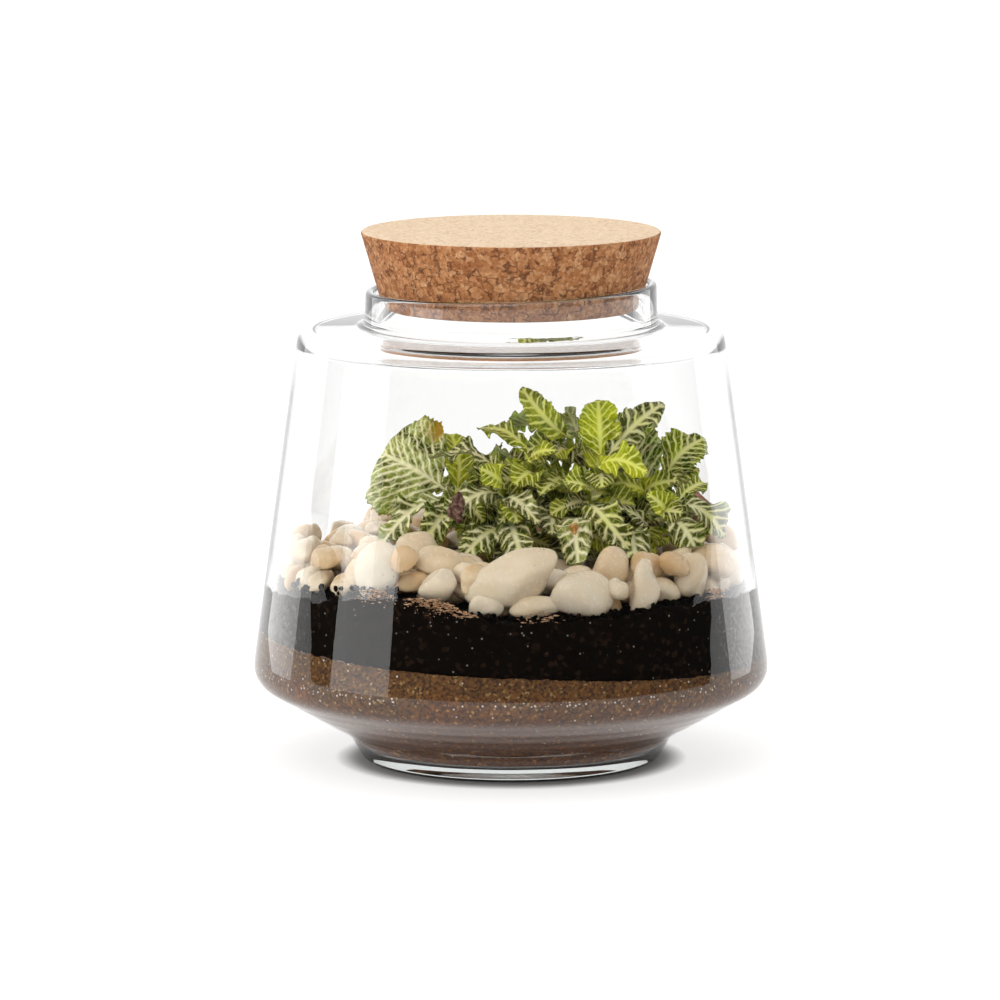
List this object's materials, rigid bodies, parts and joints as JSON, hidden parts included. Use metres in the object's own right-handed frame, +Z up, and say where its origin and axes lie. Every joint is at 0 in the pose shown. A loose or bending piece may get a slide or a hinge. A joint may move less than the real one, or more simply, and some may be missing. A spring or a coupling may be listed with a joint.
{
  "type": "glass plant terrarium",
  "caption": "Closed glass terrarium jar with a cork stopper, layered with sand, potting soil and pale pebbles, planted with a small veined foliage plant.",
  "frame": {"origin": "centre of the jar's flat underside, on the surface it stands on", "axes": "+Z up along the jar's axis, -Y towards the viewer of the plant's front, +X to that viewer's right"},
  "size_m": [0.1798, 0.1798, 0.1854],
  "materials": {
    "glass": "polished clear",
    "cork": "pressed cork granules, sanded",
    "sand": "loose coarse grains",
    "soil": "damp crumbly potting soil",
    "rooted_soil": "soil bound by fine roots",
    "pebble": "tumbled, slightly waxy",
    "red_rock": "broken, matte",
    "leaf": "soft sheen, pale raised veins"
  },
  "bodies": {
    "root": {"glass_jar": "glass", "cork_stopper": "cork", "sand_layer": "sand", "soil_layer": "soil", "root_plug": "rooted_soil", "pebble_bed": "pebble", "pebble_front_large": "pebble", "pebble_front_round": "pebble", "pebble_front_upright": "pebble", "pebble_front_wedge": "pebble", "pebble_front_flat": "pebble", "pebble_front_small": "pebble", "pebble_right_tall": "pebble", "pebble_right_edge": "pebble", "pebble_left_block": "pebble", "pebble_left_dome": "pebble", "pebble_left_flat": "pebble", "pebble_left_speckled": "pebble", "pebble_back_left": "pebble", "pebble_back_middle": "pebble", "pebble_back_right": "pebble", "red_rock": "red_rock", "shoot_left": "leaf", "shoot_left_front": "leaf", "shoot_middle_left": "leaf", "shoot_middle": "leaf", "shoot_middle_right": "leaf", "shoot_right": "leaf", "shoot_right_low": "leaf", "shoot_back_left": "leaf", "shoot_back": "leaf", "shoot_back_right": "leaf"}
  },
  "joints": []
}
